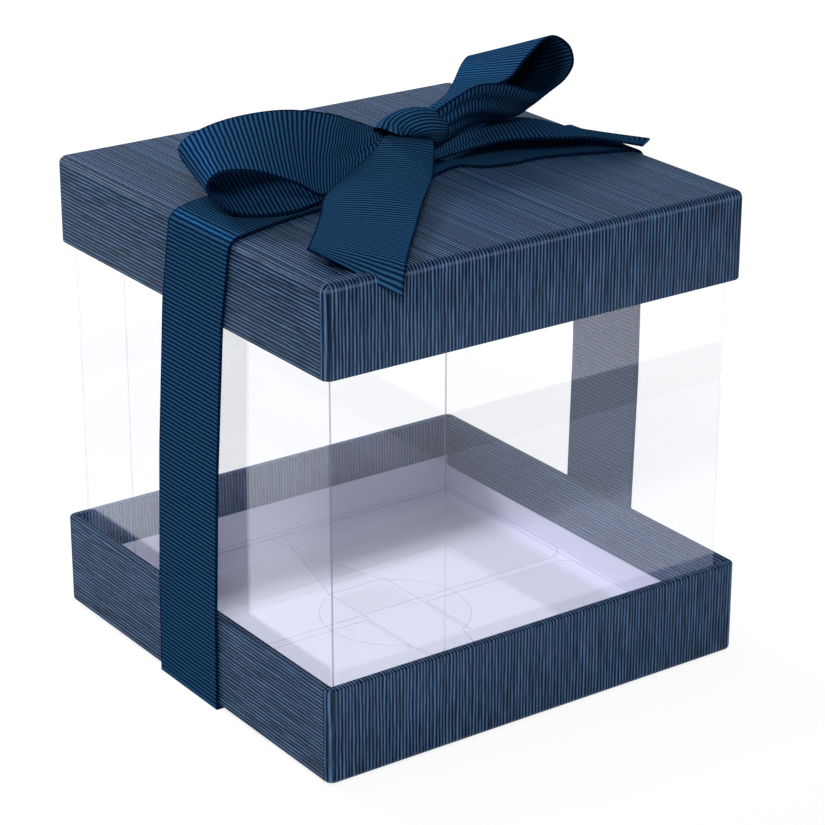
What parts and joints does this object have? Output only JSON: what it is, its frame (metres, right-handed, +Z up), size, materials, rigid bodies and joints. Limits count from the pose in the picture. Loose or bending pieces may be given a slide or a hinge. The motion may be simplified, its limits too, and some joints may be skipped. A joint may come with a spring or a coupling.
{
  "type": "favor box",
  "caption": "Square clear-sided favor box with a paper-covered tray and lid, held shut by a ribbon tied in a bow on top; the lid and sleeve lift off.",
  "frame": {"origin": "middle of the box, on the resting face of the ribbon strip under the tray", "axes": "+Z up; -Y towards the front face, which is the wide right-hand face of the picture; -X towards the face that the ribbon crosses there"},
  "size_m": [0.104, 0.1064, 0.1222],
  "materials": {
    "wrap_paper": "fine ribbed, slightly silky",
    "greyboard": "plain board",
    "lining_paper": "matt white",
    "stay_tape": "plain kraft",
    "clear_film": "clear and glossy",
    "ribbon": "ribbed grosgrain"
  },
  "bodies": {
    "tray": {"tray_board": "greyboard", "tray_wrap": "wrap_paper", "tray_corner_stays": "stay_tape", "tray_lining": "lining_paper"},
    "sleeve": {"sleeve_walls": "clear_film", "flap_left": "clear_film", "flap_right": "clear_film", "flap_front": "clear_film", "flap_back": "clear_film"},
    "lid": {"lid_board": "greyboard", "lid_wrap": "wrap_paper", "lid_corner_stays": "stay_tape", "lid_lining": "lining_paper"},
    "ribbon": {"ribbon_side_left": "ribbon", "ribbon_side_right": "ribbon", "ribbon_top_left": "ribbon", "ribbon_top_right": "ribbon", "bow_knot": "ribbon", "bow_loop_left": "ribbon", "bow_loop_right": "ribbon", "bow_tail_front": "ribbon", "bow_tail_back": "ribbon"},
    "ribbon_under": {"ribbon_underside": "ribbon"}
  },
  "joints": [
    {"name": "sleeve_lift", "type": "slide", "parent": "tray", "child": "sleeve", "axis": [0, 0, 1], "range_m": [0, 0.05]},
    {"name": "lid_lift", "type": "slide", "parent": "sleeve", "child": "lid", "axis": [0, 0, 1], "range_m": [0, 0.12]},
    {"name": "ribbon_slide", "type": "slide", "parent": "lid", "child": "ribbon", "axis": [0, -1, 0], "range_m": [0, 0.13]},
    {"name": "underside_slide", "type": "slide", "parent": "tray", "child": "ribbon_under", "axis": [0, -1, 0], "range_m": [0, 0.13]}
  ],
  "couplings": [
    {"joint": "underside_slide", "follows": "ribbon_slide", "ratio": 1}
  ]
}
